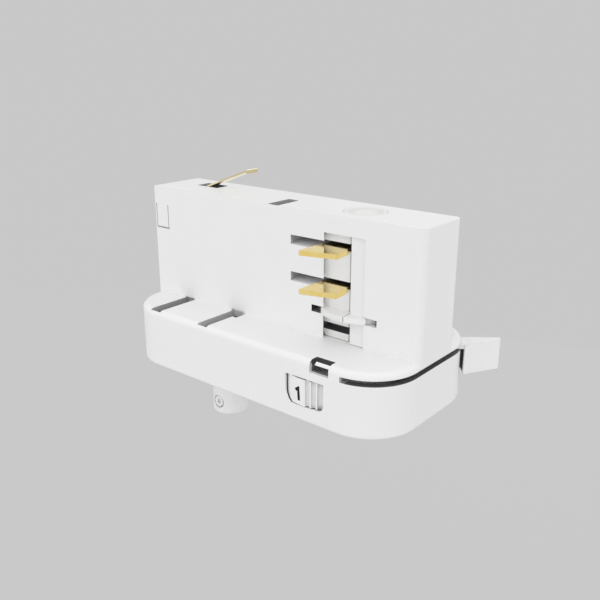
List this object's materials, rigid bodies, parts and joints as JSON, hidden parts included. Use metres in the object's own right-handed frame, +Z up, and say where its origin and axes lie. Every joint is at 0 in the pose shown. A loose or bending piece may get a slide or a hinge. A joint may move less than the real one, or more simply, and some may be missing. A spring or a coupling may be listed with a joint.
{
  "type": "track light adapter",
  "caption": "Track light adapter with a tall housing that enters the track, a lever-turned rotor with brass contact blades, a circuit selector and a lamp spigot below the base.",
  "frame": {"origin": "middle of the base's top face, the plane that seats under the track, on the middle plane of the upper housing", "axes": "+X along the adapter towards the lever, -Y the side with the circuit selector, +Z up into the track"},
  "size_m": [0.0897, 0.044, 0.0694],
  "materials": {
    "housing_white": "fine matt moulded polycarbonate",
    "spigot_white": "white powder coat on turned metal",
    "rotor_ivory": "matt moulded, heat-proof grade",
    "rotor_white": "matt moulded",
    "selector_white": "matt moulded with printed numbers",
    "brass": "bright stamped",
    "steel": "zinc plated"
  },
  "bodies": {
    "housing": {"upper_housing": "housing_white", "base_shell": "housing_white", "bottom_plate": "housing_white", "spigot": "spigot_white", "grub_screw": "spigot_white", "case_screw_1": "steel", "case_screw_2": "steel", "case_screw_3": "steel", "case_screw_4": "steel"},
    "rotor": {"rotor_core": "rotor_ivory", "rotor_cover": "rotor_white", "blade_near_low": "brass", "blade_near_high": "brass", "blade_far_low": "brass", "blade_far_high": "brass", "lever_arm": "rotor_white", "lever_handle": "rotor_white", "lever_screw": "steel"},
    "selector": {"selector_wheel": "selector_white"},
    "earth_contact": {"earth_strip": "brass"}
  },
  "joints": [
    {"name": "rotor_turn", "type": "hinge", "parent": "housing", "child": "rotor", "pos_m": [0.0219, 0, 0], "axis": [0, 0, 1], "range_deg": [-90, 0]},
    {"name": "selector_turn", "type": "hinge", "parent": "housing", "child": "selector", "pos_m": [0.0207, -0.00695, -0.008], "axis": [0, 0, 1], "range_deg": [-100, 50]},
    {"name": "earth_press", "type": "hinge", "parent": "housing", "child": "earth_contact", "pos_m": [-0.033, 0.0021, 0.0287], "axis": [0, 1, 0], "range_deg": [0, 8], "stiffness_Nm_per_rad": 0.3}
  ]
}
